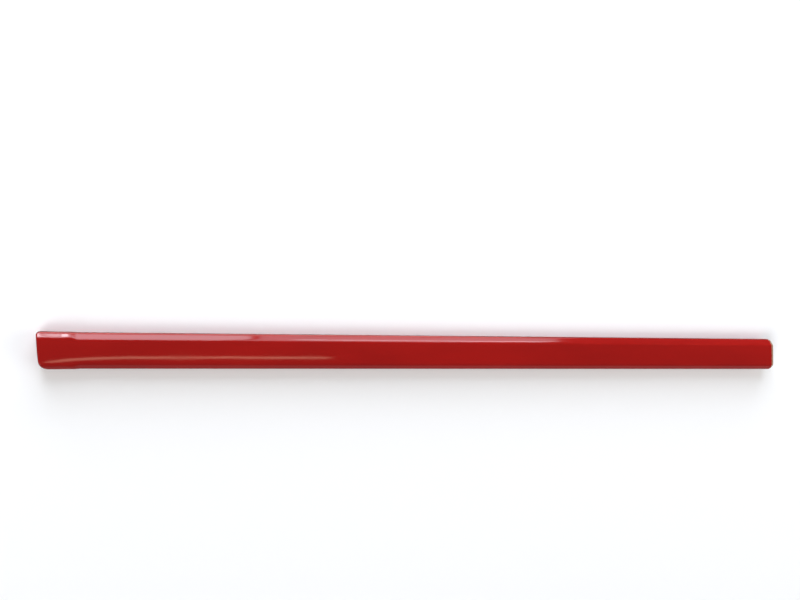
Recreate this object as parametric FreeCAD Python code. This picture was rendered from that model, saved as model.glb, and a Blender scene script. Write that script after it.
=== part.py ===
# Flat carpenter's pencil, unsharpened: two grooved wooden slats glued around a flat graphite
# core, sealed with primer, lacquered, sawn to length and dipped shut at the butt end.
#
# Millimetres. The pencil lies on a broad face on z = 0, with +Z up through its thickness.
# +X runs along it to the raw writing end, and the dipped butt end points to -X.
# The origin is under the middle of the pencil.
import FreeCAD, Part
import math
import os

# Finished section of the body, over the lacquer: a flattened octagon with softened arrises
BODY_WIDTH = 13.0
BODY_THICKNESS = 7.0
CHAMFER_LEG = 2.0
ARRIS_RADIUS = 1.5

# Length along the centre line, over the dip. Both ends are sawn parallel, a little off square.
PENCIL_LENGTH = 300.0
END_SKEW_DEGREES = 5.5

# Coats, from the wood outwards
PRIMER_FILM = 0.15
LACQUER_FILM = 0.20
DIP_FILM = 0.15
DIP_END_FILM = 0.50
DIP_LENGTH = 13.0
# The dip gathers on the chamfers, which makes the butt end's section squarer
DIP_CHAMFER_LEG = 1.6
# The broad faces are sanded back this far under the dip, so that it lies flush with them
DIP_SANDING = 0.15

# The saw chips the coats back from the raw end
PRIMER_SETBACK = 0.6
LACQUER_SETBACK = 0.9

# Corners of the sawn butt end, seen from above: the front one is knocked round before the dip
FRONT_CORNER_RADIUS = 2.5
BACK_CORNER_RADIUS = 0.5

# Graphite core, and the glue that fills its groove and the seam between the slats
CORE_WIDTH = 5.0
CORE_THICKNESS = 2.0
CORE_CORNER_RADIUS = 0.5
GLUE_FILM = 0.15

# Depth of each layer's surface under the lacquer's surface
LACQUER_DEPTH = 0.0
PRIMER_DEPTH = LACQUER_FILM
WOOD_DEPTH = LACQUER_FILM + PRIMER_FILM

# Places along the pencil, on its centre line
BUTT_X = -PENCIL_LENGTH / 2
SAWN_BUTT_X = BUTT_X + DIP_END_FILM
RAW_X = PENCIL_LENGTH / 2
SKEW_SLOPE = math.tan(math.radians(END_SKEW_DEGREES))
# Bars start this far beyond the butt end, and are then trimmed to it
TRIM_ALLOWANCE = 10.0
# Lengths under this count as none
TINY = 1e-6


def octagon_points(half_width, half_height, leg):
    """Corners (y, z) of a flattened octagon about the pencil's axis."""
    points = []
    for side_y, side_z in ((1, 1), (-1, 1), (-1, -1), (1, -1)):
        on_narrow_side = (side_y * half_width, side_z * (half_height - leg))
        on_broad_face = (side_y * (half_width - leg), side_z * half_height)
        corner = [on_narrow_side, on_broad_face]
        points += corner if side_y == side_z else corner[::-1]
    return points


def rectangle_points(width, height):
    """Corners (y, z) of a rectangle about the pencil's axis."""
    y = width / 2
    z = height / 2
    return [(y, -z), (y, z), (-y, z), (-y, -z)]


def polygon_face(corners):
    """Flat face inside a closed polygon."""
    return Part.Face(Part.makePolygon(corners + corners[:1]))


def runs_lengthwise(edge):
    """True for an edge parallel to the pencil's axis."""
    box = edge.BoundBox
    return box.XLength > 1 and box.YLength < TINY and box.ZLength < TINY


def skewed_prism(points, end_x):
    """Prism on a polygon section, from beyond the butt end to end_x, cut at the saw's skew."""
    start_x = BUTT_X - TRIM_ALLOWANCE
    corners = [FreeCAD.Vector(start_x - y * SKEW_SLOPE, y, z) for y, z in points]
    return polygon_face(corners).extrude(FreeCAD.Vector(end_x - start_x, 0, 0))


def skewed_bar(points, end_x, edge_radius):
    """The same prism with its long edges rounded."""
    bar = skewed_prism(points, end_x)
    return bar.makeFillet(edge_radius, [edge for edge in bar.Edges if runs_lengthwise(edge)])


def body_bar(depth, end_x):
    """The body's bar at one layer's depth."""
    leg = CHAMFER_LEG - depth * (2 - math.sqrt(2))
    points = octagon_points(BODY_WIDTH / 2 - depth, BODY_THICKNESS / 2 - depth, leg)
    return skewed_bar(points, end_x, ARRIS_RADIUS - depth)


def core_bar(clearance):
    """The core's bar, or the groove around it, over the whole length of the pencil."""
    points = rectangle_points(CORE_WIDTH + 2 * clearance, CORE_THICKNESS + 2 * clearance)
    return skewed_bar(points, RAW_X, CORE_CORNER_RADIUS + clearance)


def butt_block(face_x, side_film, front_radius, back_radius):
    """Block with the plan of the butt end: its skewed face and its two rounded corners."""
    half_width = BODY_WIDTH / 2 + side_film
    far_x = RAW_X + TRIM_ALLOWANCE
    front_corner = (face_x + half_width * SKEW_SLOPE, -half_width)
    back_corner = (face_x - half_width * SKEW_SLOPE, half_width)
    plan = [back_corner, front_corner, (far_x, -half_width), (far_x, half_width)]
    base = polygon_face([FreeCAD.Vector(x, y, -BODY_THICKNESS) for x, y in plan])
    block = base.extrude(FreeCAD.Vector(0, 0, 2 * BODY_THICKNESS))
    for (x, y), radius in ((front_corner, front_radius), (back_corner, back_radius)):
        upright = [
            edge
            for edge in block.Edges
            if all(math.hypot(v.X - x, v.Y - y) < TINY for v in edge.Vertexes)
        ]
        block = block.makeFillet(radius, upright)
    return block


def made_ready_for_dip(bar):
    """A bar with its butt end sawn, one corner knocked round and the broad faces sanded back."""
    block = butt_block(SAWN_BUTT_X, 0, FRONT_CORNER_RADIUS, BACK_CORNER_RADIUS)
    sanded_height = BODY_THICKNESS / 2 - DIP_SANDING
    ready = bar.common(block)
    for side in (-1, 1):
        levels = sorted((side * sanded_height, side * BODY_THICKNESS))
        points = [(y, z) for y, z in zip((1, 1, -1, -1), levels + levels[::-1])]
        sanding = skewed_prism([(y * BODY_WIDTH, z) for y, z in points], BUTT_X + DIP_LENGTH)
        ready = ready.cut(sanding)
    return ready


def casing():
    """The two slats, the core between them and the glue that holds all three."""
    blank = made_ready_for_dip(body_bar(WOOD_DEPTH, RAW_X))
    core = made_ready_for_dip(core_bar(0))
    groove = made_ready_for_dip(core_bar(GLUE_FILM))
    seam = Part.makeBox(
        PENCIL_LENGTH + 4 * TRIM_ALLOWANCE,
        2 * BODY_WIDTH,
        GLUE_FILM,
        FreeCAD.Vector(BUTT_X - 2 * TRIM_ALLOWANCE, -BODY_WIDTH, -GLUE_FILM / 2),
    )
    slats = blank.cut(groove).cut(seam).Solids
    seams = blank.common(seam).cut(groove).Solids
    lower_slat, upper_slat = sorted(slats, key=lambda solid: solid.CenterOfMass.z)
    front_seam, back_seam = sorted(seams, key=lambda solid: solid.CenterOfMass.y)
    return {
        "upper_slat": upper_slat,
        "lower_slat": lower_slat,
        "graphite_core": core,
        "core_glue": groove.cut(core),
        "seam_glue_front": front_seam,
        "seam_glue_back": back_seam,
    }


def film(outer_depth, inner_depth, end_x):
    """One coat on the body: a thin sleeve, open at both ends."""
    return made_ready_for_dip(body_bar(outer_depth, end_x).cut(body_bar(inner_depth, RAW_X)))


def dip():
    """The dip: a cup of lacquer over the sawn butt end and the first stretch of the body."""
    half_width = BODY_WIDTH / 2 + DIP_FILM
    points = octagon_points(half_width, BODY_THICKNESS / 2, DIP_CHAMFER_LEG)
    bar = skewed_bar(points, BUTT_X + DIP_LENGTH, ARRIS_RADIUS + DIP_FILM)
    block = butt_block(
        BUTT_X, DIP_FILM, FRONT_CORNER_RADIUS + DIP_END_FILM, BACK_CORNER_RADIUS + DIP_END_FILM
    )
    return bar.common(block).cut(made_ready_for_dip(body_bar(LACQUER_DEPTH, RAW_X)))


def stand_on_floor(pieces):
    """Moves every piece so that the pencil lies on z = 0 with the origin under its middle."""
    box = Part.makeCompound(list(pieces.values())).optimalBoundingBox()
    shift = FreeCAD.Vector(-box.Center.x, -box.Center.y, -box.ZMin)
    for shape in pieces.values():
        shape.translate(shift)


def build():
    """Every piece of the pencil by name."""
    pieces = casing()
    pieces["primer_coat"] = film(PRIMER_DEPTH, WOOD_DEPTH, RAW_X - PRIMER_SETBACK)
    pieces["red_lacquer"] = film(LACQUER_DEPTH, PRIMER_DEPTH, RAW_X - LACQUER_SETBACK)
    pieces["dipped_end_cap"] = dip()
    stand_on_floor(pieces)
    return pieces


os.makedirs("parts", exist_ok=True)
for name, shape in build().items():
    solid = shape.Solids[0]
    print(name, len(shape.Solids), solid.isValid(), round(solid.Volume, 1), "mm3")
    solid.exportStep(os.path.join("parts", name + ".step"))
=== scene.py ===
"""Looks of a flat carpenter's pencil, laid out as an add-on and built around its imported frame.

The pencil lies along X on z = 0. Its dipped butt end points to -X and its raw sawn end to +X.
Lengths are in metres, as in the frame, and every size below comes from the frame's boxes or from
the settings that the panel lists.
"""

import math

import bmesh
import bpy
import numpy as np
from bpy.props import FloatProperty, FloatVectorProperty, IntProperty, PointerProperty
from mathutils import Matrix, Vector, noise
from mathutils.geometry import delaunay_2d_cdt


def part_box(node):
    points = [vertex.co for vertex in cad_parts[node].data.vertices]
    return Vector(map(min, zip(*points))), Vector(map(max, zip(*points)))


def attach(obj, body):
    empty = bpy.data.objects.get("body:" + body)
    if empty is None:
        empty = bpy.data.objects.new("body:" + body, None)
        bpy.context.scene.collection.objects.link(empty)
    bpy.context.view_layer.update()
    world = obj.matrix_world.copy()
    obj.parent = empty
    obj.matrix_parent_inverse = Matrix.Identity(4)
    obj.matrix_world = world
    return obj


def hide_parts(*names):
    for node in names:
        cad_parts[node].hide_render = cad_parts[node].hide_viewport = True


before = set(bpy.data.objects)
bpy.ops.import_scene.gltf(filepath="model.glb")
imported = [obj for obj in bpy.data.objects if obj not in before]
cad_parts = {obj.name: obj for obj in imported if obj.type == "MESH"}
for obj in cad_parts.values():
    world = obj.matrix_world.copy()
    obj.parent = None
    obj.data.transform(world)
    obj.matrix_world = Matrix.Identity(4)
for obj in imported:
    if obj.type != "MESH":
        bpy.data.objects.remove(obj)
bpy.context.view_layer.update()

bl_info = {
    "name": "Carpenter's Pencil",
    "version": (1, 0, 0),
    "blender": (4, 5, 0),
    "location": "3D View > Sidebar > Pencil",
    "description": "Builds a lacquered flat pencil with a dipped butt end and a raw sawn end",
    "category": "Object",
}

MM = 0.001
WHITE = (1.0, 1.0, 1.0)
BODY = "root"

# The frame's own measures. Layers are boxes about the pencil's axis.
BODY_LOW, BODY_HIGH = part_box("red_lacquer")
DIP_LOW, DIP_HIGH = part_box("dipped_end_cap")
PRIMER_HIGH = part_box("primer_coat")[1]
SLAT_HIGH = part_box("upper_slat")[1]
CORE_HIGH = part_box("graphite_core")[1]
GROOVE_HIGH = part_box("core_glue")[1]
AXIS_HEIGHT = (BODY_LOW.z + BODY_HIGH.z) / 2
LACQUER_FILM = BODY_HIGH.y - PRIMER_HIGH.y
PRIMER_FILM = PRIMER_HIGH.y - SLAT_HIGH.y

# Both ends are cut at one skew: along a cut, x falls by SKEW for each unit of y. Every cut and
# edge below is named by its x on the pencil's axis.
SKEW = (SLAT_HIGH.x - CORE_HIGH.x) / (SLAT_HIGH.y - CORE_HIGH.y)
RAW_X = CORE_HIGH.x - SKEW * CORE_HIGH.y
LACQUER_END_X = BODY_HIGH.x - SKEW * BODY_HIGH.y
PRIMER_END_X = PRIMER_HIGH.x - SKEW * PRIMER_HIGH.y
DIP_RIM_X = DIP_HIGH.x - SKEW * DIP_HIGH.y
BACK_CORNER = 1.0 * MM
BUTT_LINE_X = DIP_LOW.x + SKEW * (DIP_HIGH.y - BACK_CORNER)


# ---------------------------------------------------------------------------------------------
# Settings


class BodySettings(bpy.types.PropertyGroup):
    """Section of the body, and how its lacquer lies on it."""

    chamfer_leg: FloatProperty(
        name="Chamfer leg",
        description="Leg of each chamfer of the octagon, over the lacquer",
        default=2.0 * MM,
        unit="LENGTH",
        precision=5,
    )
    arris_radius: FloatProperty(
        name="Arris radius",
        description="Radius where two faces meet, over the lacquer",
        default=1.6 * MM,
        unit="LENGTH",
        precision=5,
    )
    crown: FloatProperty(
        name="Crown",
        description="How far a broad face falls from its middle to the pencil's sides",
        default=0.20 * MM,
        unit="LENGTH",
        precision=5,
    )
    butt_tilt: FloatProperty(
        name="Tilt at the butt",
        description="How far the upper broad face turns towards the back by the butt end",
        subtype="ANGLE",
        default=math.radians(1.66),
        precision=4,
    )
    tilt_reach: FloatProperty(
        name="Reach of the tilt",
        description="Distance from the butt end over which the face turns level again",
        default=11.0 * MM,
        unit="LENGTH",
        precision=4,
    )
    wave_height: FloatProperty(
        name="Film unevenness",
        description="How far the dried lacquer rises and falls",
        default=0.012 * MM,
        unit="LENGTH",
        precision=6,
    )
    wave_length: FloatProperty(
        name="Length of the unevenness",
        description="Distance along the pencil from one rise to the next",
        default=22.0 * MM,
        unit="LENGTH",
        precision=4,
    )
    chip_depth: FloatProperty(
        name="Chipping",
        description="How far the saw chips the coats back beyond their cut edge",
        default=0.35 * MM,
        unit="LENGTH",
        precision=5,
    )
    rings: IntProperty(
        name="Rings",
        description="Sections along the coats",
        default=320,
        min=16,
    )
    colour: FloatVectorProperty(
        name="Lacquer",
        description="Colour of the lacquer",
        subtype="COLOR",
        default=(0.285, 0.0045, 0.0030),
        min=0.0,
        max=1.0,
    )
    thin_colour: FloatVectorProperty(
        name="Lacquer on the arrises",
        description="Colour where the lacquer has drawn thin over an arris",
        subtype="COLOR",
        default=(0.345, 0.012, 0.008),
        min=0.0,
        max=1.0,
    )
    primer_colour: FloatVectorProperty(
        name="Primer",
        description="Colour of the sealing coat under the lacquer",
        subtype="COLOR",
        default=(0.40, 0.27, 0.18),
        min=0.0,
        max=1.0,
    )


class DipSettings(bpy.types.PropertyGroup):
    """The thick dip over the butt end."""

    chamfer_leg: FloatProperty(
        name="Chamfer leg",
        description="Leg of the chamfers at the butt end, where the dip gathers on them",
        default=1.6 * MM,
        unit="LENGTH",
        precision=5,
    )
    front_corner: FloatProperty(
        name="Front corner radius",
        description="Radius of the knocked corner at the butt end, seen from above",
        default=3.0 * MM,
        unit="LENGTH",
        precision=5,
    )
    back_corner: FloatProperty(
        name="Back corner radius",
        description="Radius of the other corner at the butt end, seen from above",
        default=BACK_CORNER,
        unit="LENGTH",
        precision=5,
    )
    end_thickness: FloatProperty(
        name="End thickness",
        description="Thickness of the dip over the end grain",
        default=0.5 * MM,
        unit="LENGTH",
        precision=5,
    )
    rim_rounding: FloatProperty(
        name="Rounding of the end",
        description="Radius between the dip's sides and its end face",
        default=0.7 * MM,
        unit="LENGTH",
        precision=5,
    )
    doming: FloatProperty(
        name="Doming of the end",
        description="How far the end face falls back from its middle to its rim",
        default=0.22 * MM,
        unit="LENGTH",
        precision=5,
    )
    creep: FloatProperty(
        name="Creep",
        description="How far the dip's thin edge runs up the body, past its thick part",
        default=0.8 * MM,
        unit="LENGTH",
        precision=5,
    )
    lip_length: FloatProperty(
        name="Lip length",
        description="Distance over which the dip rises to its full film on the chamfers",
        default=2.6 * MM,
        unit="LENGTH",
        precision=5,
    )
    bead: FloatProperty(
        name="Bead",
        description="Height of the fat edge that gathers on the chamfers behind the lip",
        default=0.16 * MM,
        unit="LENGTH",
        precision=5,
    )


class CasingSettings(bpy.types.PropertyGroup):
    """The wood and the lead, as they show at the raw end."""

    ring_spacing: FloatProperty(
        name="Growth ring spacing",
        description="Distance between two growth rings",
        default=1.15 * MM,
        unit="LENGTH",
        precision=5,
    )
    grain_size: FloatProperty(
        name="Relief cell",
        description="Size of the cells that carry the relief of the sawn face",
        default=0.2 * MM,
        unit="LENGTH",
        precision=5,
    )
    broken_edge: FloatProperty(
        name="Broken edge",
        description="How far the wood's edge is broken back at the sawn face",
        default=0.12 * MM,
        unit="LENGTH",
        precision=5,
    )
    fibre_count: IntProperty(
        name="Burr fibres",
        description="Fibres that the saw has left standing around the sawn face",
        default=260,
        min=0,
    )
    fibre_length: FloatProperty(
        name="Fibre length",
        description="Length of the longest burr fibres",
        default=0.42 * MM,
        unit="LENGTH",
        precision=5,
    )
    earlywood: FloatVectorProperty(
        name="Earlywood",
        description="Colour of the pale part of each growth ring",
        subtype="COLOR",
        default=(0.38, 0.225, 0.135),
        min=0.0,
        max=1.0,
    )
    latewood: FloatVectorProperty(
        name="Latewood",
        description="Colour of the dark part of each growth ring",
        subtype="COLOR",
        default=(0.23, 0.110, 0.055),
        min=0.0,
        max=1.0,
    )
    graphite: FloatVectorProperty(
        name="Graphite",
        description="Colour of the lead",
        subtype="COLOR",
        default=(0.045, 0.046, 0.050),
        min=0.0,
        max=1.0,
    )
    glue: FloatVectorProperty(
        name="Glue",
        description="Colour of the dried glue",
        subtype="COLOR",
        default=(0.55, 0.40, 0.22),
        min=0.0,
        max=1.0,
    )


class StageSettings(bpy.types.PropertyGroup):
    """Floor, lights and camera."""

    camera_place: FloatVectorProperty(
        name="Camera",
        description="Where the camera stands",
        subtype="TRANSLATION",
        default=(-0.12284, 0.05230, 0.37651),
        precision=5,
    )
    camera_aim: FloatVectorProperty(
        name="Aim",
        description="Point of the floor that the camera looks at",
        subtype="TRANSLATION",
        default=(-0.01661, 0.02007, 0.0),
        precision=5,
    )
    camera_roll: FloatProperty(
        name="Roll",
        description="Turn of the camera about its line of sight",
        subtype="ANGLE",
        default=math.radians(2.46),
    )
    camera_lens: FloatProperty(
        name="Lens",
        description="Focal length on a 36 mm wide sensor",
        default=45.1,
    )
    floor_size: FloatProperty(
        name="Floor size",
        description="Side of the square floor",
        default=2.4,
        unit="LENGTH",
    )
    floor_colour: FloatVectorProperty(
        name="Floor",
        description="Colour of the floor",
        subtype="COLOR",
        default=(0.90, 0.90, 0.89),
        min=0.0,
        max=1.0,
    )
    ambient: FloatProperty(
        name="Room light",
        description="Strength of the even light from all round",
        default=0.14,
        min=0.0,
    )
    backdrop: FloatProperty(
        name="Backdrop",
        description="Brightness of the backdrop behind the floor",
        default=0.72,
        min=0.0,
    )
    sky: FloatProperty(
        name="Sky",
        description="Strength of the broad light from the left",
        default=1.7,
        min=0.0,
    )
    sky_width: FloatProperty(
        name="Sky width",
        description="Angle across the broad light from the left",
        subtype="ANGLE",
        default=math.radians(40),
    )


class PencilSettings(bpy.types.PropertyGroup):
    """Every setting of the pencil."""

    body: PointerProperty(type=BodySettings)
    dip: PointerProperty(type=DipSettings)
    casing: PointerProperty(type=CasingSettings)
    stage: PointerProperty(type=StageSettings)


def settings():
    """The settings that the operators read."""
    return bpy.context.scene.carpenter_pencil


# ---------------------------------------------------------------------------------------------
# Node helpers


# Where a Mix node keeps its colours, after its sockets for numbers and vectors.
MIX_FIRST = 6
MIX_SECOND = 7
MIX_RESULT = 2


def feed(tree, socket, value):
    """Links a socket to another, or sets its value."""
    if isinstance(value, bpy.types.NodeSocket):
        tree.links.new(value, socket)
    else:
        socket.default_value = value


def add_node(tree, kind, inputs=None, **traits):
    """Adds a node with these traits, fed with these inputs."""
    made = tree.nodes.new(kind)
    for name, value in traits.items():
        setattr(made, name, value)
    for key, value in (inputs or {}).items():
        feed(tree, made.inputs[key], value)
    return made


def calc(tree, operation, *values):
    """A Math node's result."""
    inputs = dict(enumerate(values))
    return add_node(tree, "ShaderNodeMath", inputs, operation=operation).outputs[0]


def vector_calc(tree, operation, *values):
    """A Vector Math node's vector."""
    inputs = dict(enumerate(values))
    made = add_node(tree, "ShaderNodeVectorMath", inputs, operation=operation)
    return made.outputs["Vector"]


def vector_length(tree, vector):
    """The length of a vector."""
    made = add_node(tree, "ShaderNodeVectorMath", {0: vector}, operation="LENGTH")
    return made.outputs["Value"]


def scaled(tree, vector, factors):
    """A vector times a factor for each axis."""
    return vector_calc(tree, "MULTIPLY", vector, factors)


def split(tree, vector):
    """The x, y and z of a vector."""
    return add_node(tree, "ShaderNodeSeparateXYZ", {0: vector}).outputs


def joined(tree, x=0.0, y=0.0, z=0.0):
    """A vector from x, y and z."""
    return add_node(tree, "ShaderNodeCombineXYZ", {"X": x, "Y": y, "Z": z}).outputs[0]


def mapped(tree, value, low, high, to_low=0.0, to_high=1.0):
    """A value carried smoothly from one range to another and held at its ends."""
    inputs = {"Value": value, "From Min": low, "From Max": high}
    inputs.update({"To Min": to_low, "To Max": to_high})
    made = add_node(tree, "ShaderNodeMapRange", inputs, interpolation_type="SMOOTHSTEP")
    return made.outputs["Result"]


def mixed_colours(tree, share, first, second):
    """A colour between two others."""
    made = tree.nodes.new("ShaderNodeMix")
    made.data_type = "RGBA"
    feed(tree, made.inputs["Factor"], share)
    feed(tree, made.inputs[MIX_FIRST], first)
    feed(tree, made.inputs[MIX_SECOND], second)
    return made.outputs[MIX_RESULT]


def noise_value(tree, vector, scale, detail=2.0, roughness=0.5, seed=0.0, distortion=0.0):
    """A Noise Texture's value, from 0 to 1."""
    inputs = {"Vector": vector, "W": seed, "Scale": scale, "Detail": detail}
    inputs.update({"Roughness": roughness, "Distortion": distortion})
    made = add_node(tree, "ShaderNodeTexNoise", inputs, noise_dimensions="4D")
    return made.outputs[0]


def voronoi_cells(tree, vector, scale, randomness):
    """A Voronoi Texture's outputs: the distance to each cell's middle, and its colour."""
    inputs = {"Vector": vector, "Scale": scale, "Randomness": randomness}
    return add_node(tree, "ShaderNodeTexVoronoi", inputs).outputs


def new_group(name, kind, inputs, outputs):
    """An empty node group with named sockets, and its own ends."""
    tree = bpy.data.node_groups.new(name, kind)
    for label, socket_type, default in inputs:
        socket = tree.interface.new_socket(label, in_out="INPUT", socket_type=socket_type)
        if default is not None:
            socket.default_value = default
    for label, socket_type in outputs:
        tree.interface.new_socket(label, in_out="OUTPUT", socket_type=socket_type)
    return tree, tree.nodes.new("NodeGroupInput").outputs, tree.nodes.new("NodeGroupOutput").inputs


def tone(colour, strength=1.0):
    """A darker or brighter tone of a colour, with its alpha."""
    return (*(min(1.0, strength * part) for part in colour), 1.0)


# ---------------------------------------------------------------------------------------------
# Shader groups that several materials share


# How far the saw's spindle stands to the front of the pencil's axis.
SAW_REACH = 90.0 * MM


def shared(name, build):
    """The node group with this name, built the first time that it is asked for."""
    return bpy.data.node_groups.get(name) or build(name)


def build_flow_group(name):
    """Unevenness of a film that flowed before it dried: orange peel, slow swells and dust nibs."""
    tree, given, result = new_group(
        name,
        "ShaderNodeTree",
        [
            ("Position", "NodeSocketVector", None),
            ("Peel size", "NodeSocketFloat", 1.2 * MM),
            ("Peel", "NodeSocketFloat", 0.5),
            ("Nibs", "NodeSocketFloat", 0.5),
        ],
        [("Height", "NodeSocketFloat")],
    )
    # Dust settles in one cell of seven, as a nib much smaller than its cell.
    cells_per_metre = 240.0
    share_clean = 0.86
    nib_radius = 0.035
    stretched = scaled(tree, given["Position"], (0.45, 1.0, 1.0))
    peel_scale = calc(tree, "DIVIDE", 1.0, given["Peel size"])
    peel = noise_value(tree, stretched, peel_scale, detail=1.0)
    swell_scale = calc(tree, "MULTIPLY", peel_scale, 0.22)
    swell = noise_value(tree, stretched, swell_scale, detail=0.0)
    cells = voronoi_cells(tree, given["Position"], cells_per_metre, 1.0)
    rare = calc(tree, "GREATER_THAN", split(tree, cells["Color"])[0], share_clean)
    dot = mapped(tree, cells["Distance"], 0.0, nib_radius, 1.0, 0.0)
    nib = calc(tree, "MULTIPLY", calc(tree, "MULTIPLY", dot, rare), given["Nibs"])
    rolling = calc(tree, "ADD", calc(tree, "MULTIPLY", peel, given["Peel"]), swell)
    tree.links.new(calc(tree, "ADD", rolling, nib), result["Height"])
    return tree


def build_arris_group(name):
    """Mask of the rounded arrises, broken up, from which way the surface faces."""
    tree, given, result = new_group(
        name,
        "ShaderNodeTree",
        [
            ("Position", "NodeSocketVector", None),
            ("Normal", "NodeSocketVector", None),
            ("Break-up", "NodeSocketFloat", 0.5),
        ],
        [("Mask", "NodeSocketFloat")],
    )
    look = split(tree, given["Normal"])
    turn = calc(tree, "ARCTAN2", look[2], look[1])
    # The octagon's faces look every 45 degrees, and each arris looks between two of them.
    face_count = 8.0
    between = calc(tree, "COSINE", calc(tree, "MULTIPLY", turn, face_count))
    arris = calc(tree, "MULTIPLY_ADD", between, -0.5, 0.5)
    patches = noise_value(tree, scaled(tree, given["Position"], (60.0, 260.0, 260.0)), 1.0, 3.0)
    broken = mapped(tree, patches, calc(tree, "MULTIPLY", given["Break-up"], 0.9), 0.85)
    tree.links.new(calc(tree, "MULTIPLY", arris, broken), result["Mask"])
    return tree


def build_handling_group(name):
    """Dust and faint rubbing that a thing picks up in use."""
    tree, given, result = new_group(
        name,
        "ShaderNodeTree",
        [
            ("Position", "NodeSocketVector", None),
            ("Smear size", "NodeSocketFloat", 14.0 * MM),
            ("Hairline", "NodeSocketFloat", 0.5),
        ],
        [("Smears", "NodeSocketFloat"), ("Hairlines", "NodeSocketFloat")],
    )
    scale = calc(tree, "DIVIDE", 1.0, given["Smear size"])
    smears = noise_value(tree, given["Position"], scale, 4.0, 0.6, seed=3.0)
    tree.links.new(mapped(tree, smears, 0.35, 0.75), result["Smears"])
    lengthwise = scaled(tree, given["Position"], (35.0, 2600.0, 2600.0))
    lines = noise_value(tree, lengthwise, 1.0, 2.0, 0.5, seed=7.0, distortion=0.4)
    thin = mapped(tree, lines, 0.66, 0.74)
    tree.links.new(calc(tree, "MULTIPLY", thin, given["Hairline"]), result["Hairlines"])
    return tree


def build_ring_group(name):
    """Growth rings about a centre line along X, with the wood's fibres and pores."""
    tree, given, result = new_group(
        name,
        "ShaderNodeTree",
        [
            ("Position", "NodeSocketVector", None),
            ("Centre", "NodeSocketVector", None),
            ("Spacing", "NodeSocketFloat", 1.15 * MM),
        ],
        [
            ("Latewood", "NodeSocketFloat"),
            ("Fibres", "NodeSocketFloat"),
            ("Pores", "NodeSocketFloat"),
        ],
    )
    away = vector_calc(tree, "SUBTRACT", given["Position"], given["Centre"])
    across = scaled(tree, away, (0.0, 1.0, 1.0))
    radius = vector_length(tree, across)
    slow = scaled(tree, given["Position"], (9.0, 160.0, 160.0))
    wander = calc(tree, "MULTIPLY_ADD", noise_value(tree, slow, 1.0, 2.0), 1.1, -0.55)
    turns = calc(tree, "DIVIDE", radius, given["Spacing"])
    phase = calc(tree, "FRACT", calc(tree, "ADD", turns, wander))
    # Each ring darkens slowly through its earlywood and stops short at the end of its latewood.
    rise = calc(tree, "POWER", phase, 3.2)
    fall = mapped(tree, phase, 0.93, 1.0, 1.0, 0.0)
    tree.links.new(calc(tree, "MULTIPLY", rise, fall), result["Latewood"])
    fibre_place = scaled(tree, given["Position"], (120.0, 9000.0, 9000.0))
    tree.links.new(noise_value(tree, fibre_place, 1.0, 2.0, 0.6), result["Fibres"])
    pore_place = scaled(tree, given["Position"], (160.0, 5200.0, 5200.0))
    cells = voronoi_cells(tree, pore_place, 1.0, 0.9)
    tree.links.new(mapped(tree, cells["Distance"], 0.16, 0.34, 1.0, 0.0), result["Pores"])
    return tree


def build_saw_group(name):
    """Arcs that a circular saw leaves across a cut face, and a mask of that face."""
    tree, given, result = new_group(
        name,
        "ShaderNodeTree",
        [
            ("Position", "NodeSocketVector", None),
            ("Normal", "NodeSocketVector", None),
            ("Pitch", "NodeSocketFloat", 0.42 * MM),
            ("Reach", "NodeSocketFloat", SAW_REACH),
        ],
        [("Marks", "NodeSocketFloat"), ("Cut face", "NodeSocketFloat")],
    )
    place = split(tree, given["Position"])
    beyond = calc(tree, "ADD", place[1], given["Reach"])
    flat = joined(tree, 0.0, beyond, place[2])
    count = calc(tree, "DIVIDE", vector_length(tree, flat), given["Pitch"])
    jitter = noise_value(tree, given["Position"], 700.0, 3.0)
    wave = calc(tree, "SINE", calc(tree, "MULTIPLY", calc(tree, "ADD", count, jitter), math.tau))
    tree.links.new(calc(tree, "MULTIPLY_ADD", wave, 0.5, 0.5), result["Marks"])
    along = calc(tree, "ABSOLUTE", split(tree, given["Normal"])[0])
    tree.links.new(mapped(tree, along, 0.5, 0.9), result["Cut face"])
    return tree


# ---------------------------------------------------------------------------------------------
# Materials


def new_material(name, **shader_values):
    """A material with a bare Principled shader, its tree, and the position to read."""
    material = bpy.data.materials.get(name) or bpy.data.materials.new(name)
    material.use_nodes = True
    tree = material.node_tree
    tree.nodes.clear()
    output = tree.nodes.new("ShaderNodeOutputMaterial")
    shader = tree.nodes.new("ShaderNodeBsdfPrincipled")
    tree.links.new(shader.outputs[0], output.inputs["Surface"])
    for label, value in shader_values.items():
        shader.inputs[label.replace("_", " ")].default_value = value
    return material, tree, shader, tree.nodes.new("ShaderNodeTexCoord").outputs["Object"]


def use_group(tree, name, build, inputs):
    """Places a shared group in a material and feeds it."""
    return add_node(tree, "ShaderNodeGroup", inputs, node_tree=shared(name, build)).outputs


def facing(tree):
    """Which way the surface faces."""
    return tree.nodes.new("ShaderNodeNewGeometry").outputs["Normal"]


def flowed_film(tree, position, peel_size, peel, nibs):
    """Height of a film that flowed before it dried."""
    inputs = {"Position": position, "Peel size": peel_size, "Peel": peel, "Nibs": nibs}
    return use_group(tree, "Flowed film", build_flow_group, inputs)["Height"]


def saw_marks(tree, position, pitch):
    """The saw's arcs on a cut face, and the mask of that face."""
    inputs = {"Position": position, "Normal": facing(tree), "Pitch": pitch}
    return use_group(tree, "Saw marks", build_saw_group, inputs)


def bump(tree, shader, height, strength, distance):
    """Feeds a height to the shader's normal."""
    inputs = {"Height": height, "Strength": strength, "Distance": distance}
    made = add_node(tree, "ShaderNodeBump", inputs)
    tree.links.new(made.outputs[0], shader.inputs["Normal"])


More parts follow.
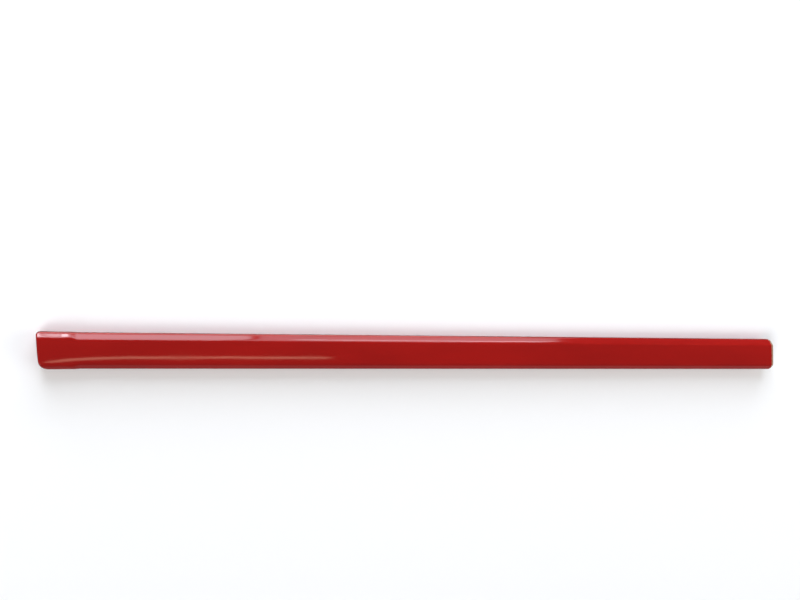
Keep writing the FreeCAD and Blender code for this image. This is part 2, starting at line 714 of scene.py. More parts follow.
def lacquer_material():
    """Glossy red lacquer: a little thinner on the arrises, with orange peel, nibs and smears."""
    body = settings().body
    material, tree, shader, position = new_material("red_lacquer", IOR=1.5)
    worn = {"Position": position, "Normal": facing(tree), "Break-up": 0.35}
    arris = use_group(tree, "Arris mask", build_arris_group, worn)["Mask"]
    handled = {"Position": position, "Smear size": 16.0 * MM, "Hairline": 0.35}
    handling = use_group(tree, "Handling", build_handling_group, handled)
    clouds = noise_value(tree, scaled(tree, position, (22.0, 70.0, 70.0)), 1.0, 3.0, 0.55)
    cloudy = mapped(tree, clouds, 0.3, 0.7)
    red = mixed_colours(tree, cloudy, tone(body.colour, 0.93), tone(body.colour, 1.07))
    thin_share = calc(tree, "MULTIPLY", arris, 0.55)
    red = mixed_colours(tree, thin_share, red, tone(body.thin_colour))
    tree.links.new(red, shader.inputs["Base Color"])
    dulled = calc(tree, "MULTIPLY_ADD", handling["Smears"], 0.035, 0.045)
    dulled = calc(tree, "MULTIPLY_ADD", handling["Hairlines"], 0.10, dulled)
    tree.links.new(dulled, shader.inputs["Roughness"])
    bump(tree, shader, flowed_film(tree, position, 2.2 * MM, 0.35, 0.9), 0.22, 0.008 * MM)
    return material


def primer_material():
    """Chalky primer, torn where the saw came through."""
    material, tree, shader, position = new_material("sealing_primer", Roughness=0.8)
    colour = settings().body.primer_colour
    grains = mapped(tree, noise_value(tree, position, 2600.0, 3.0, 0.6), 0.3, 0.7)
    chalk = mixed_colours(tree, grains, tone(colour, 0.72), tone(colour))
    tree.links.new(chalk, shader.inputs["Base Color"])
    bump(tree, shader, flowed_film(tree, position, 0.3 * MM, 0.9, 0.2), 0.6, 0.02 * MM)
    return material


def cedar_material(name, centre):
    """Raw sawn wood: growth rings about a centre line, open pores, and saw marks, some scorched."""
    casing = settings().casing
    material, tree, shader, position = new_material(name, IOR=1.45)
    grown_with = {"Position": position, "Centre": centre, "Spacing": casing.ring_spacing}
    rings = use_group(tree, "Growth rings", build_ring_group, grown_with)
    saw = saw_marks(tree, position, 0.42 * MM)
    dark = tone(casing.latewood)
    wood = mixed_colours(tree, rings["Latewood"], tone(casing.earlywood), dark)
    streak = mapped(tree, rings["Fibres"], 0.25, 0.8, 0.0, 0.55)
    wood = mixed_colours(tree, streak, wood, dark)
    pore_share = calc(tree, "MULTIPLY", rings["Pores"], saw["Cut face"])
    pore_mix = calc(tree, "MULTIPLY", pore_share, 0.75)
    wood = mixed_colours(tree, pore_mix, wood, tone(casing.latewood, 0.45))
    # The saw darkens the end grain in bands where it lingered.
    scorch = calc(tree, "MULTIPLY", calc(tree, "MULTIPLY", saw["Marks"], saw["Cut face"]), 0.22)
    wood = mixed_colours(tree, scorch, wood, dark)
    tree.links.new(wood, shader.inputs["Base Color"])
    roughness = mapped(tree, rings["Latewood"], 0.0, 1.0, 0.86, 0.62)
    tree.links.new(roughness, shader.inputs["Roughness"])
    height = calc(tree, "MULTIPLY_ADD", rings["Latewood"], 0.5, saw["Marks"])
    height = calc(tree, "SUBTRACT", height, calc(tree, "MULTIPLY", pore_share, 1.2))
    height = calc(tree, "MULTIPLY_ADD", rings["Fibres"], 0.6, height)
    bump(tree, shader, height, 0.7, 0.02 * MM)
    return material


def graphite_material():
    """Fired graphite: dark, with random lighter specks, and a lighter colour along the saw marks
    that paints in a burnished sheen.
    """
    material, tree, shader, position = new_material("graphite_lead", Metallic=0.35)
    base = settings().casing.graphite
    saw = saw_marks(tree, position, 0.23 * MM)
    specks = noise_value(tree, position, 5200.0, 3.0, 0.65)
    share = calc(tree, "MULTIPLY", mapped(tree, specks, 0.42, 0.72), 0.6)
    # The saw marks lighten the colour here: a painted sheen that stands in for the shine of
    # burnished graphite.
    share = calc(tree, "MULTIPLY_ADD", saw["Marks"], 0.3, share)
    lead = mixed_colours(tree, share, tone(base), tone(base, 2.4))
    tree.links.new(lead, shader.inputs["Base Color"])
    tree.links.new(mapped(tree, specks, 0.3, 0.7, 0.34, 0.56), shader.inputs["Roughness"])
    height = calc(tree, "MULTIPLY_ADD", specks, 0.8, saw["Marks"])
    bump(tree, shader, height, 0.6, 0.012 * MM)
    return material


def glue_material():
    """Dried glue: cream, half clear, with trapped bubbles and sawdust."""
    material, tree, shader, position = new_material("dried_glue", Roughness=0.38)
    base = settings().casing.glue
    bubbles = voronoi_cells(tree, position, 5200.0, 1.0)
    ring = mapped(tree, bubbles["Distance"], 0.1, 0.3, 1.0, 0.0)
    dust = noise_value(tree, position, 3400.0, 3.0, 0.6)
    share = calc(tree, "ADD", calc(tree, "MULTIPLY", ring, 0.5), mapped(tree, dust, 0.4, 0.7))
    share = calc(tree, "MULTIPLY", share, 0.5)
    glue = mixed_colours(tree, share, tone(base), tone(base, 1.5))
    tree.links.new(glue, shader.inputs["Base Color"])
    bump(tree, shader, flowed_film(tree, position, 0.5 * MM, 0.8, 0.0), 0.5, 0.02 * MM)
    return material


def floor_material():
    """Plain pale board with the faintest mottling."""
    colour = settings().stage.floor_colour
    material, tree, shader, position = new_material("pale_floor", Roughness=0.7)
    clouds = noise_value(tree, position, 6.0, 4.0, 0.5)
    board = mixed_colours(tree, clouds, tone(colour, 0.985), tone(colour))
    tree.links.new(board, shader.inputs["Base Color"])
    fine = noise_value(tree, position, 900.0, 2.0)
    bump(tree, shader, fine, 0.15, 0.05 * MM)
    return material


# ---------------------------------------------------------------------------------------------
# Outlines across the pencil, as (y, z) points about its axis, anticlockwise seen from +X


# Steps round each arris, and across the faces.
ARC_STEPS = 6
BROAD_STEPS = 22
CHAMFER_STEPS = 3
NARROW_STEPS = 4
# Radius of the lead's corners and its groove's, and the room that is left round the lead.
LEAD_CORNER = 0.5 * MM
LEAD_CLEARANCE = 0.01 * MM
# Points nearer to the seam than this are left to its own corners.
SEAM_CLEARANCE = 0.05 * MM


def octagon_section(half_width, half_height, leg, radius, crown):
    """An octagon with rounded arrises, whose broad faces rise by the crown to full height."""
    shoulder = half_height - crown
    chamfer = (half_width + shoulder - leg) / math.sqrt(2)
    reaches = (half_width, chamfer, shoulder, chamfer) * 2
    flat_steps = (NARROW_STEPS, CHAMFER_STEPS, BROAD_STEPS, CHAMFER_STEPS) * 2
    turns = [index * math.pi / 4 for index in range(9)]
    normals = [np.array((math.cos(turn), math.sin(turn))) for turn in turns]
    arcs = []
    for index in range(8):
        faces = np.array((normals[index], normals[index + 1]))
        depths = np.array((reaches[index], reaches[(index + 1) % 8])) - radius
        centre = np.linalg.solve(faces, depths)
        sweep = np.linspace(turns[index], turns[index + 1], ARC_STEPS + 1)
        arcs.append(centre + radius * np.column_stack((np.cos(sweep), np.sin(sweep))))
    points = []
    for index in range(8):
        start = arcs[index - 1][-1]
        end = arcs[index][0]
        for step in range(1, flat_steps[index]):
            points.append(start + (end - start) * step / flat_steps[index])
        points.extend(arcs[index])
    outline = np.array(points)
    rise = crown / shoulder * (1.0 - (outline[:, 0] / half_width) ** 2)
    outline[:, 1] *= 1.0 + rise
    return outline


def inset_section(half_width, half_height, leg, radius, depth, crown):
    """The same octagon with every face moved in by a depth."""
    inner_leg = leg - (2.0 - math.sqrt(2.0)) * depth
    return octagon_section(
        half_width - depth, half_height - depth, inner_leg, radius - depth, crown
    )


def rounded_rectangle(half_width, half_height, radius):
    """A rectangle with rounded corners."""
    points = []
    corners = ((1, 1, 0.0), (-1, 1, 0.5), (-1, -1, 1.0), (1, -1, 1.5))
    for side, level, start in corners:
        for step in range(ARC_STEPS + 1):
            turn = math.pi * (start + 0.5 * step / ARC_STEPS)
            y = side * (half_width - radius) + radius * math.cos(turn)
            z = level * (half_height - radius) + radius * math.sin(turn)
            points.append((y, z))
    return np.array(points)


def stepped(outline, spacing):
    """A closed outline with points no further apart than the spacing."""
    points = []
    for start, end in zip(outline, np.roll(outline, -1, axis=0)):
        count = max(1, math.ceil(np.hypot(*(end - start)) / spacing))
        points.extend(start + (end - start) * step / count for step in range(count))
    return np.array(points)


def body_section(depth):
    """Section of the body at a depth under the lacquer's surface."""
    body = settings().body
    half_height = BODY_HIGH.z - AXIS_HEIGHT
    return inset_section(
        BODY_HIGH.y, half_height, body.chamfer_leg, body.arris_radius, depth, body.crown
    )


def slat_outline(spacing):
    """Half of the casing above the seam, with its half of the groove for the lead."""
    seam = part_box("seam_glue_back")[1].z - AXIS_HEIGHT
    outer = body_section(LACQUER_FILM + PRIMER_FILM)
    order = np.argsort(np.arctan2(outer[:, 1], outer[:, 0]))
    above = [point for point in outer[order] if point[1] > seam + SEAM_CLEARANCE]
    groove = rounded_rectangle(GROOVE_HIGH.y, GROOVE_HIGH.z - AXIS_HEIGHT, LEAD_CORNER)
    roof = [point for point in groove if point[1] > seam + SEAM_CLEARANCE]
    roof.sort(key=lambda point: point[0])
    points = [(SLAT_HIGH.y, seam), *above, (-SLAT_HIGH.y, seam)]
    points += [(-GROOVE_HIGH.y, seam), *roof, (GROOVE_HIGH.y, seam)]
    return stepped(np.array(points), spacing)


# ---------------------------------------------------------------------------------------------
# Mesh helpers


WELD_DISTANCE = 0.0005 * MM
SMOOTH_ANGLE = math.radians(38)
# Each seed looks at another part of the noise, this far along x and z.
SEED_SHIFT = (17.3, -5.1)


def tidy_mesh(mesh):
    """Welds a mesh, turns its faces outwards and shades it smooth up to an angle."""
    work = bmesh.new()
    work.from_mesh(mesh)
    bmesh.ops.remove_doubles(work, verts=work.verts, dist=WELD_DISTANCE)
    bmesh.ops.dissolve_degenerate(work, dist=WELD_DISTANCE, edges=work.edges)
    bmesh.ops.recalc_face_normals(work, faces=work.faces)
    work.to_mesh(mesh)
    work.free()
    mesh.shade_smooth()
    mesh.set_sharp_from_angle(angle=SMOOTH_ANGLE)


def plain_mesh(name, vertices, faces):
    """A mesh from points and faces, welded, with its faces turned outwards."""
    mesh = bpy.data.meshes.new(name)
    mesh.from_pydata([tuple(vertex) for vertex in vertices], [], faces)
    tidy_mesh(mesh)
    return mesh


def new_object(name, data):
    """An object in the scene that holds this data."""
    made = bpy.data.objects.new(name, data)
    bpy.context.collection.objects.link(made)
    return made


def place_piece(name, mesh, stands_for=(), material=None):
    """Puts a finished mesh in the scene as a piece of the pencil."""
    piece = new_object(name, mesh)
    if material:
        mesh.materials.clear()
        mesh.materials.append(material)
    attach(piece, BODY)
    if stands_for:
        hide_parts(*stands_for)


def settled(carrier, name):
    """The mesh that an object's modifiers make. The object itself is then thrown away."""
    bpy.context.view_layer.update()
    graph = bpy.context.evaluated_depsgraph_get()
    mesh = bpy.data.meshes.new_from_object(carrier.evaluated_get(graph), depsgraph=graph)
    mesh.name = name
    start = carrier.data
    carrier.modifiers.clear()
    bpy.data.objects.remove(carrier)
    bpy.data.meshes.remove(start)
    return mesh


def grown(tree, start_mesh, name, values):
    """The mesh that a node tree makes from a starting mesh, with these input values."""
    carrier = new_object(name, start_mesh)
    modifier = carrier.modifiers.new(name, "NODES")
    modifier.node_group = tree
    for item in tree.interface.items_tree:
        if item.item_type == "SOCKET" and item.in_out == "INPUT" and item.name in values:
            modifier[item.identifier] = values[item.name]
    return settled(carrier, name)


def loop_mesh(name, points):
    """A closed loop of edges through points."""
    mesh = bpy.data.meshes.new(name)
    count = len(points)
    edges = [(index, (index + 1) % count) for index in range(count)]
    mesh.from_pydata([tuple(point) for point in points], edges, [])
    return mesh


def walled(mesh, name, thickness):
    """A skin given a wall inwards, with its cut edges closed."""
    carrier = new_object(name, mesh)
    wall = carrier.modifiers.new("Wall", "SOLIDIFY")
    wall.thickness = thickness
    wall.offset = -1.0
    wall.use_rim = True
    wall.use_even_offset = True
    return settled(carrier, name)


def ring_faces(count, rings):
    """Faces between neighbouring rings of points, each of count points."""
    faces = []
    for ring in range(rings - 1):
        here = ring * count
        there = here + count
        for index in range(count):
            after = (index + 1) % count
            faces.append((here + index, here + after, there + after, there + index))
    return faces


def ripple(x, y, z, size, seed):
    """Smooth noise from -1 to 1 with cells of this size."""
    shift_x, shift_z = SEED_SHIFT
    return noise.noise(Vector((x / size + shift_x * seed, y / size, z / size + shift_z * seed)))


# ---------------------------------------------------------------------------------------------
# Geometry node trees


# How strongly a coat's rings crowd at its ends, and its waves in each metre round the body.
END_CROWDING = 0.9
WAVES_ACROSS = 170.0


def build_coat_tree(name):
    """A coat along X: a swept section that is tilted, waved, sanded and chipped at its cut."""
    tree, given, result = new_group(
        name,
        "GeometryNodeTree",
        [
            ("Section", "NodeSocketGeometry", None),
            ("Start", "NodeSocketFloat", 0.0),
            ("End", "NodeSocketFloat", 0.1),
            ("Rings", "NodeSocketInt", 64),
            ("Skew", "NodeSocketFloat", 0.0),
            ("Axis height", "NodeSocketFloat", 0.0),
            ("Half width", "NodeSocketFloat", 6.5 * MM),
            ("Half height", "NodeSocketFloat", 3.5 * MM),
            ("Crown", "NodeSocketFloat", 0.0),
            ("Butt line", "NodeSocketFloat", 0.0),
            ("Tilt", "NodeSocketFloat", 0.0),
            ("Tilt reach", "NodeSocketFloat", 12.0 * MM),
            ("Sanding", "NodeSocketFloat", 0.0),
            ("Sanded to", "NodeSocketFloat", -1.0),
            ("Sanding fade", "NodeSocketFloat", 0.25 * MM),
            ("Wave height", "NodeSocketFloat", 0.0),
            ("Wave length", "NodeSocketFloat", 20.0 * MM),
            ("Chip depth", "NodeSocketFloat", 0.0),
            ("Chip size", "NodeSocketFloat", 0.4 * MM),
            ("Seed", "NodeSocketFloat", 0.0),
            ("Material", "NodeSocketMaterial", None),
        ],
        [("Coat", "NodeSocketGeometry")],
    )
    start = given["Start"]
    end = given["End"]
    section = add_node(tree, "GeometryNodeMeshToCurve", {"Mesh": given["Section"]}).outputs[0]
    ends = {"Start": joined(tree, start), "End": joined(tree, end)}
    line = add_node(tree, "GeometryNodeCurvePrimitiveLine", ends).outputs[0]
    resampling = {"Curve": line, "Count": given["Rings"]}
    rail = add_node(tree, "GeometryNodeResampleCurve", resampling).outputs[0]

    # The rings crowd towards both ends, where the coat changes most.
    share = add_node(tree, "GeometryNodeSplineParameter").outputs["Factor"]
    sway = calc(tree, "SINE", calc(tree, "MULTIPLY", share, math.tau))
    share = calc(tree, "MULTIPLY_ADD", sway, -END_CROWDING / math.tau, share)
    length = calc(tree, "SUBTRACT", end, start)
    along = calc(tree, "MULTIPLY_ADD", share, length, start)
    crowded = {"Geometry": rail, "Position": joined(tree, along)}
    rail = add_node(tree, "GeometryNodeSetPosition", crowded).outputs[0]
    sweep = {"Curve": rail, "Profile Curve": section}
    coat = add_node(tree, "GeometryNodeCurveToMesh", sweep).outputs[0]

    x, y, z = split(tree, add_node(tree, "GeometryNodeInputPosition").outputs[0])
    # By the butt the upper face tilts about the axis, and sinks so that it grows no higher.
    fade = calc(tree, "SUBTRACT", given["Butt line"], x)
    fade = calc(tree, "EXPONENT", calc(tree, "DIVIDE", fade, given["Tilt reach"]))
    tilt = calc(tree, "MULTIPLY", fade, given["Tilt"])
    sunk = calc(tree, "MULTIPLY", tilt, given["Half width"])
    sunk = calc(tree, "MULTIPLY", sunk, sunk)
    sunk = calc(tree, "DIVIDE", sunk, calc(tree, "MULTIPLY", given["Crown"], -4.0))
    lift = calc(tree, "SUBTRACT", sunk, calc(tree, "MULTIPLY", tilt, y))
    level = calc(tree, "MAXIMUM", calc(tree, "DIVIDE", z, given["Half height"]), 0.0)
    z = calc(tree, "MULTIPLY_ADD", lift, level, z)

    # The film is never thicker than its section: waves and sanding only take away.
    slow_x = calc(tree, "DIVIDE", x, given["Wave length"])
    wave_y = calc(tree, "MULTIPLY", y, WAVES_ACROSS)
    wave_z = calc(tree, "MULTIPLY", z, WAVES_ACROSS)
    place = joined(tree, slow_x, wave_y, wave_z)
    wave = noise_value(tree, place, 1.0, detail=1.0, seed=given["Seed"])
    loss = calc(tree, "MULTIPLY", wave, given["Wave height"])
    sanded_from = calc(tree, "SUBTRACT", given["Sanded to"], given["Sanding fade"])
    sanded = mapped(tree, x, sanded_from, given["Sanded to"], 1.0, 0.0)
    loss = calc(tree, "MULTIPLY_ADD", sanded, given["Sanding"], loss)
    keep = calc(tree, "SUBTRACT", 1.0, calc(tree, "DIVIDE", loss, given["Half height"]))
    y = calc(tree, "MULTIPLY", y, keep)
    z = calc(tree, "MULTIPLY", z, keep)

    chip_scale = calc(tree, "DIVIDE", 1.0, given["Chip size"])
    chip = noise_value(tree, joined(tree, 0.0, y, z), chip_scale, 3.0, 0.6, given["Seed"])
    chip = mapped(tree, chip, 0.35, 0.75)
    # Chips start within three of their depths from the cut, and the skew comes last of all.
    chip_reach = calc(tree, "MULTIPLY", given["Chip depth"], -3.0)
    near_end = mapped(tree, calc(tree, "SUBTRACT", x, end), chip_reach, 0.0)
    back = calc(tree, "MULTIPLY", calc(tree, "MULTIPLY", chip, near_end), given["Chip depth"])
    x = calc(tree, "SUBTRACT", x, back)
    x = calc(tree, "SUBTRACT", x, calc(tree, "MULTIPLY", y, given["Skew"]))
    z = calc(tree, "ADD", z, given["Axis height"])
    shaped = {"Geometry": coat, "Position": joined(tree, x, y, z)}
    coat = add_node(tree, "GeometryNodeSetPosition", shaped).outputs[0]
    coat = add_node(tree, "GeometryNodeSetShadeSmooth", {"Geometry": coat}).outputs[0]
    finish_tree(tree, coat, given["Material"], result["Coat"])
    return tree


def build_fibre_tree(name):
    """Burr fibres: thin spikes along an outline, leaning outwards and forwards."""
    tree, given, result = new_group(
        name,
        "GeometryNodeTree",
        [
            ("Edge", "NodeSocketGeometry", None),
            ("Count", "NodeSocketInt", 200),
            ("Axis height", "NodeSocketFloat", 0.0),
            ("Length", "NodeSocketFloat", 0.4 * MM),
            ("Thickness", "NodeSocketFloat", 0.03 * MM),
            ("Scatter", "NodeSocketFloat", 0.5 * MM),
            ("Seed", "NodeSocketInt", 0),
            ("Material", "NodeSocketMaterial", None),
        ],
        [("Fibres", "NodeSocketGeometry")],
    )
    edge = add_node(tree, "GeometryNodeMeshToCurve", {"Mesh": given["Edge"]}).outputs[0]
    roots = add_node(tree, "GeometryNodeCurveToPoints", {"Curve": edge, "Count": given["Count"]})
    seed = given["Seed"]

    def dice(kind, low, high, offset):
        """A random value for each fibre."""
        # The node keeps its sockets for vectors before those for numbers.
        low_at, high_at, value_at = (0, 1, 0) if kind == "FLOAT_VECTOR" else (2, 3, 1)
        inputs = {low_at: low, high_at: high, "Seed": calc(tree, "ADD", seed, float(offset))}
        return add_node(tree, "FunctionNodeRandomValue", inputs, data_type=kind).outputs[value_at]

    shift = joined(tree, calc(tree, "MULTIPLY", given["Scatter"], dice("FLOAT", -1.0, 0.0, 1)))
    moved = {"Geometry": roots.outputs["Points"], "Offset": shift}
    points = add_node(tree, "GeometryNodeSetPosition", moved).outputs[0]
    spike_size = {"Vertices": 5, "Side Segments": 2, "Depth": given["Length"]}
    spike_size.update({"Radius Top": 0.0, "Radius Bottom": given["Thickness"]})
    spike = add_node(tree, "GeometryNodeMeshCone", spike_size).outputs["Mesh"]
    position = split(tree, add_node(tree, "GeometryNodeInputPosition").outputs[0])
    level = calc(tree, "SUBTRACT", position[2], given["Axis height"])
    outward = vector_calc(tree, "NORMALIZE", joined(tree, 0.0, position[1], level))
    least_lean = (0.4, -0.35, -0.35)
    most_lean = (2.6, 0.35, 0.35)
    lean = dice("FLOAT_VECTOR", least_lean, most_lean, 2)
    aim = {"Vector": vector_calc(tree, "ADD", outward, lean)}
    turn = add_node(tree, "FunctionNodeAlignRotationToVector", aim, axis="Z").outputs[0]
    thick = dice("FLOAT", 0.4, 1.0, 3)
    size = joined(tree, thick, thick, dice("FLOAT", 0.2, 1.0, 4))
    scattered = {"Points": points, "Instance": spike, "Rotation": turn, "Scale": size}
    fibres = add_node(tree, "GeometryNodeInstanceOnPoints", scattered).outputs[0]
    finish_tree(tree, fibres, given["Material"], result["Fibres"])
    return tree


def finish_tree(tree, geometry, material, output):
    """Ends a tree in real geometry with its material."""
    real = add_node(tree, "GeometryNodeRealizeInstances", {"Geometry": geometry}).outputs[0]
    finished = {"Geometry": real, "Material": material}
    clad = add_node(tree, "GeometryNodeSetMaterial", finished).outputs[0]
    tree.links.new(clad, output)


# ---------------------------------------------------------------------------------------------
# Pieces


# How far the coats run on under the dip, how deep they are sanded down for it, and how far
# short of the dip's lip the sanding stops.
COAT_OVERLAP = 1.5 * MM
SANDING_DEPTH = 0.10 * MM
SANDING_SETBACK = 0.2 * MM
# Room that is left on each side of the primer.
PRIMER_CLEARANCE = 0.004 * MM


def butt_x(y, depth=0.0):
    """Where the butt's end stands at y, at a depth under the dip: square to the skew, with
    its front corner knocked round and its back corner eased."""
    dip = settings().dip
    half_width = DIP_HIGH.y - depth
    front = dip.front_corner - depth
    back = dip.back_corner - depth
    x = BUTT_LINE_X + depth - SKEW * y
    into_front = min(front, max(0.0, -y - (half_width - front)))
    into_back = min(back, max(0.0, y - (half_width - back)))
    x += front - math.sqrt(front**2 - into_front**2)
    x += back - math.sqrt(back**2 - into_back**2)
    return x


class CoatBuilder:
    """Shared way of making the two coats that run along the body."""

    def coat(self, name, depth, film, end, material, extra):
        """A coat whose surface lies at a depth under the lacquer's."""
        body = settings().body
        # The sweep takes a flat section, so each point has a third coordinate of 0.
        section = loop_mesh(name + "_section", np.pad(body_section(depth), ((0, 0), (0, 1))))
        values = {
            "Start": DIP_RIM_X - COAT_OVERLAP,
            "End": end,
            "Skew": SKEW,
            "Axis height": AXIS_HEIGHT,
            "Half width": BODY_HIGH.y - depth,
            "Half height": BODY_HIGH.z - AXIS_HEIGHT - depth,
            "Crown": body.crown,
            "Butt line": BUTT_LINE_X,
            "Tilt": body.butt_tilt,
            "Tilt reach": body.tilt_reach,
            "Sanding": SANDING_DEPTH,
            "Sanded to": DIP_RIM_X + settings().dip.creep - SANDING_SETBACK,
            "Wave length": body.wave_length,
            "Material": material,
            **extra,
        }
        tree = shared("Coat along the body", build_coat_tree)
        skin = grown(tree, section, name + "_skin", values)
        tidy_mesh(skin)
        coat = walled(skin, name, film)
        coat.set_sharp_from_angle(angle=SMOOTH_ANGLE)
        return coat


class PENCIL_OT_lacquer_coat(bpy.types.Operator, CoatBuilder):
    """Makes the red lacquer along the body, chipped where the saw came through"""

    bl_idname = "pencil.lacquer_coat"
    bl_label = "Lacquer coat"

    def execute(self, context):
        body = settings().body
        extra = {
            "Rings": body.rings,
            "Wave height": body.wave_height,
            "Chip depth": body.chip_depth,
            "Chip size": 0.9 * MM,
            "Seed": 4.0,
        }
        material = lacquer_material()
        mesh = self.coat("lacquer_coat", 0.0, LACQUER_FILM, LACQUER_END_X, material, extra)
        place_piece("lacquer_coat", mesh, ["red_lacquer"])
        return {"FINISHED"}


class PENCIL_OT_primer_sleeve(bpy.types.Operator, CoatBuilder):
    """Makes the sealing coat between the wood and the lacquer"""

    bl_idname = "pencil.primer_sleeve"
    bl_label = "Primer sleeve"

    def execute(self, context):
        extra = {
            "Rings": 60,
            "Chip depth": 0.7 * settings().body.chip_depth,
            "Chip size": 0.5 * MM,
            "Seed": 9.0,
        }
        material = primer_material()
        depth = LACQUER_FILM + PRIMER_CLEARANCE
        film = PRIMER_FILM - 2.0 * PRIMER_CLEARANCE
        mesh = self.coat("primer_sleeve", depth, film, PRIMER_END_X, material, extra)
        place_piece("primer_sleeve", mesh, ["primer_coat"])
        return {"FINISHED"}


# The dip's film at its lip, the lip's rounding, and the step behind it down to the dip's inside.
LIP_FILM = 0.03 * MM
LIP_RADIUS = 0.07 * MM
LIP_STEP = 0.12 * MM
INNER_DEPTH = 0.34 * MM
# How far the lip wanders, over what distance, and how fast that dies out behind it.
LIP_WOBBLE = 0.12 * MM
WOBBLE_LENGTH = 2.6 * MM
WOBBLE_FADE = 6.0
# The bead's slope down to the butt, as a share of the dip's length.
BEAD_SPREAD = 0.15
END_STEPS = 14


def eased(share):
    """A share from 0 to 1 that starts and ends slowly."""
    return share * share * (3.0 - 2.0 * share)


class PENCIL_OT_butt_dip(bpy.types.Operator):
    """Makes the thick dip over the butt end, with its fat lip and knocked corner"""

    bl_idname = "pencil.butt_dip"
    bl_label = "Butt dip"

    def lip_x(self):
        """Where the dip's thin edge crosses the axis."""
        return DIP_RIM_X + settings().dip.creep

    def section(self, share, depth):
        """Section of the dip at a depth, from its lip, at 0, to its end face, at 1."""
        body = settings().body
        dip = settings().dip
        film = LIP_FILM + (DIP_HIGH.y - BODY_HIGH.y - LIP_FILM) * eased(share)
        lip_share = dip.lip_length / (self.lip_x() - BUTT_LINE_X)
        rise = eased(min(1.0, share / lip_share))
        past_lip = max(0.0, share - lip_share) / BEAD_SPREAD
        bead = dip.bead * rise * math.exp(-(past_lip**2))
        lip_leg = body.chamfer_leg - LIP_FILM
        leg = lip_leg + (dip.chamfer_leg - lip_leg) * rise - math.sqrt(2.0) * bead
        half_width = BODY_HIGH.y + film
        half_height = DIP_HIGH.z - AXIS_HEIGHT
        return inset_section(
            half_width, half_height, leg, body.arris_radius, depth, body.crown
        )

    def lifted(self, x, y, z):
        """A point's height once the upper face has tilted, as it does along the body."""
        body = settings().body
        tilt = body.butt_tilt * math.exp((BUTT_LINE_X - x - SKEW * y) / body.tilt_reach)
        sunk = (tilt * DIP_HIGH.y) ** 2 / (4.0 * body.crown)
        level = max(0.0, z / (DIP_HIGH.z - AXIS_HEIGHT))
        return z - (tilt * y + sunk) * level + AXIS_HEIGHT

    def wall_ring(self, share, depth, wobble):
        """A ring of the side wall, at a share of the way from the lip to the end."""
        rounding = settings().dip.rim_rounding
        ring = []
        for y, z in self.section(share, depth):
            front_x = self.lip_x() - SKEW * y + wobble * ripple(0.0, y, z, WOBBLE_LENGTH, 1)
            back_x = butt_x(y) + rounding
            x = front_x + (back_x - front_x) * share
            ring.append((x, y, self.lifted(x, y, z)))
        return ring

    def end_ring(self, depth, setback, scale=1.0):
        """A ring of the domed end, inset by a depth and set back from the dome."""
        dip = settings().dip
        crest = 1.0 - dip.back_corner / DIP_HIGH.y
        ring = []
        for y, z in scale * self.section(1.0, depth):
            reach = math.hypot(y / DIP_HIGH.y, z / (DIP_HIGH.z - AXIS_HEIGHT))
            fall = dip.doming * (min(1.0, reach) ** 2 - crest**2)
            x = butt_x(y) + fall + setback
            ring.append((x, y, self.lifted(x, y, z)))
        return ring

    def wall_rings(self):
        """Rings out along the dip's inside, round its lip and back along its outside."""
        length = self.lip_x() - butt_x(0.0)
        rings = []
        for share in np.linspace(0.93, 0.0, 12):
            rings.append(self.wall_ring(share, INNER_DEPTH, LIP_WOBBLE))
        rings.append(self.wall_ring(0.0, LIP_STEP, LIP_WOBBLE))
        for turn in np.linspace(0.0, math.pi / 2, 6)[:-1]:
            depth = LIP_RADIUS * (1.0 - math.sin(turn))
            share = LIP_RADIUS * (1.0 - math.cos(turn)) / length
            rings.append(self.wall_ring(share, depth, LIP_WOBBLE))
        # The rings stand closer together behind the lip than along the rest of the wall.
        lip_shares = np.linspace(LIP_RADIUS / length, 0.14, 14)
        wall_shares = np.linspace(0.16, 1.0, 30)
        for share in np.concatenate((lip_shares, wall_shares)):
            wobble = LIP_WOBBLE * max(0.0, 1.0 - WOBBLE_FADE * share)
            rings.append(self.wall_ring(share, 0.0, wobble))
        return rings

    def end_rings(self):
        """Rings round the rim of the end and over its dome, to near its middle."""
        dip = settings().dip
        rings = []
        for turn in np.linspace(0.0, math.pi / 2, END_STEPS)[1:]:
            depth = dip.rim_rounding * (1.0 - math.cos(turn))
            setback = dip.rim_rounding * (1.0 - math.sin(turn))
            ring = np.array(self.end_ring(depth, setback))
            ring[:, 0] -= dip.doming * (1.0 - math.sin(turn))
            rings.append(ring)
        for scale in np.linspace(1.0, 0.04, END_STEPS)[1:]:
            rings.append(self.end_ring(dip.rim_rounding, 0.0, scale))
        return rings

    def execute(self, context):
        dip = settings().dip
        rings = self.wall_rings() + self.end_rings()
        count = len(rings[0])
        vertices = [vertex for ring in rings for vertex in ring]
        faces = ring_faces(count, len(rings))
        # One pole closes the outside of the end, and another the face against the wood.
        outer_pole = len(vertices)
        inner_pole = outer_pole + 1
        pole_x = butt_x(0.0)
        vertices.append((pole_x - dip.doming, 0.0, AXIS_HEIGHT))
        vertices.append((pole_x + dip.end_thickness, 0.0, AXIS_HEIGHT))
        last = outer_pole - count
        for index in range(count):
            after = (index + 1) % count
            faces.append((last + index, last + after, outer_pole))
            faces.append((after, index, inner_pole))
        mesh = plain_mesh("butt_dip", vertices, faces)
        place_piece("butt_dip", mesh, ["dipped_end_cap"], lacquer_material())
        return {"FINISHED"}


# Points on a sawn face lie in rows this many cells apart and this far from its edge.
ROW_PITCH = 0.87
EDGE_CLEARANCE = 0.55
# The broken edge's slope inwards and back, and the places of the rings behind it, as multiples
# of its size.
EDGE_PULL = 0.35
EDGE_SETBACK = 0.3
EDGE_RINGS = (1.0, 2.5, 5.0, 8.0, 12.0, 18.0, 60.0, 400.0)
# How unevenly the wood's sides are worn by the edge.
EDGE_WEAR = 0.02 * MM
WEAR_LENGTH = 0.5 * MM
WEAR_SOFTNESS = 6.0 * MM


def edge_gap(outline, y, z):
    """Distance from a point to the nearest point of an outline."""
    return np.hypot(outline[:, 0] - y, outline[:, 1] - z).min()


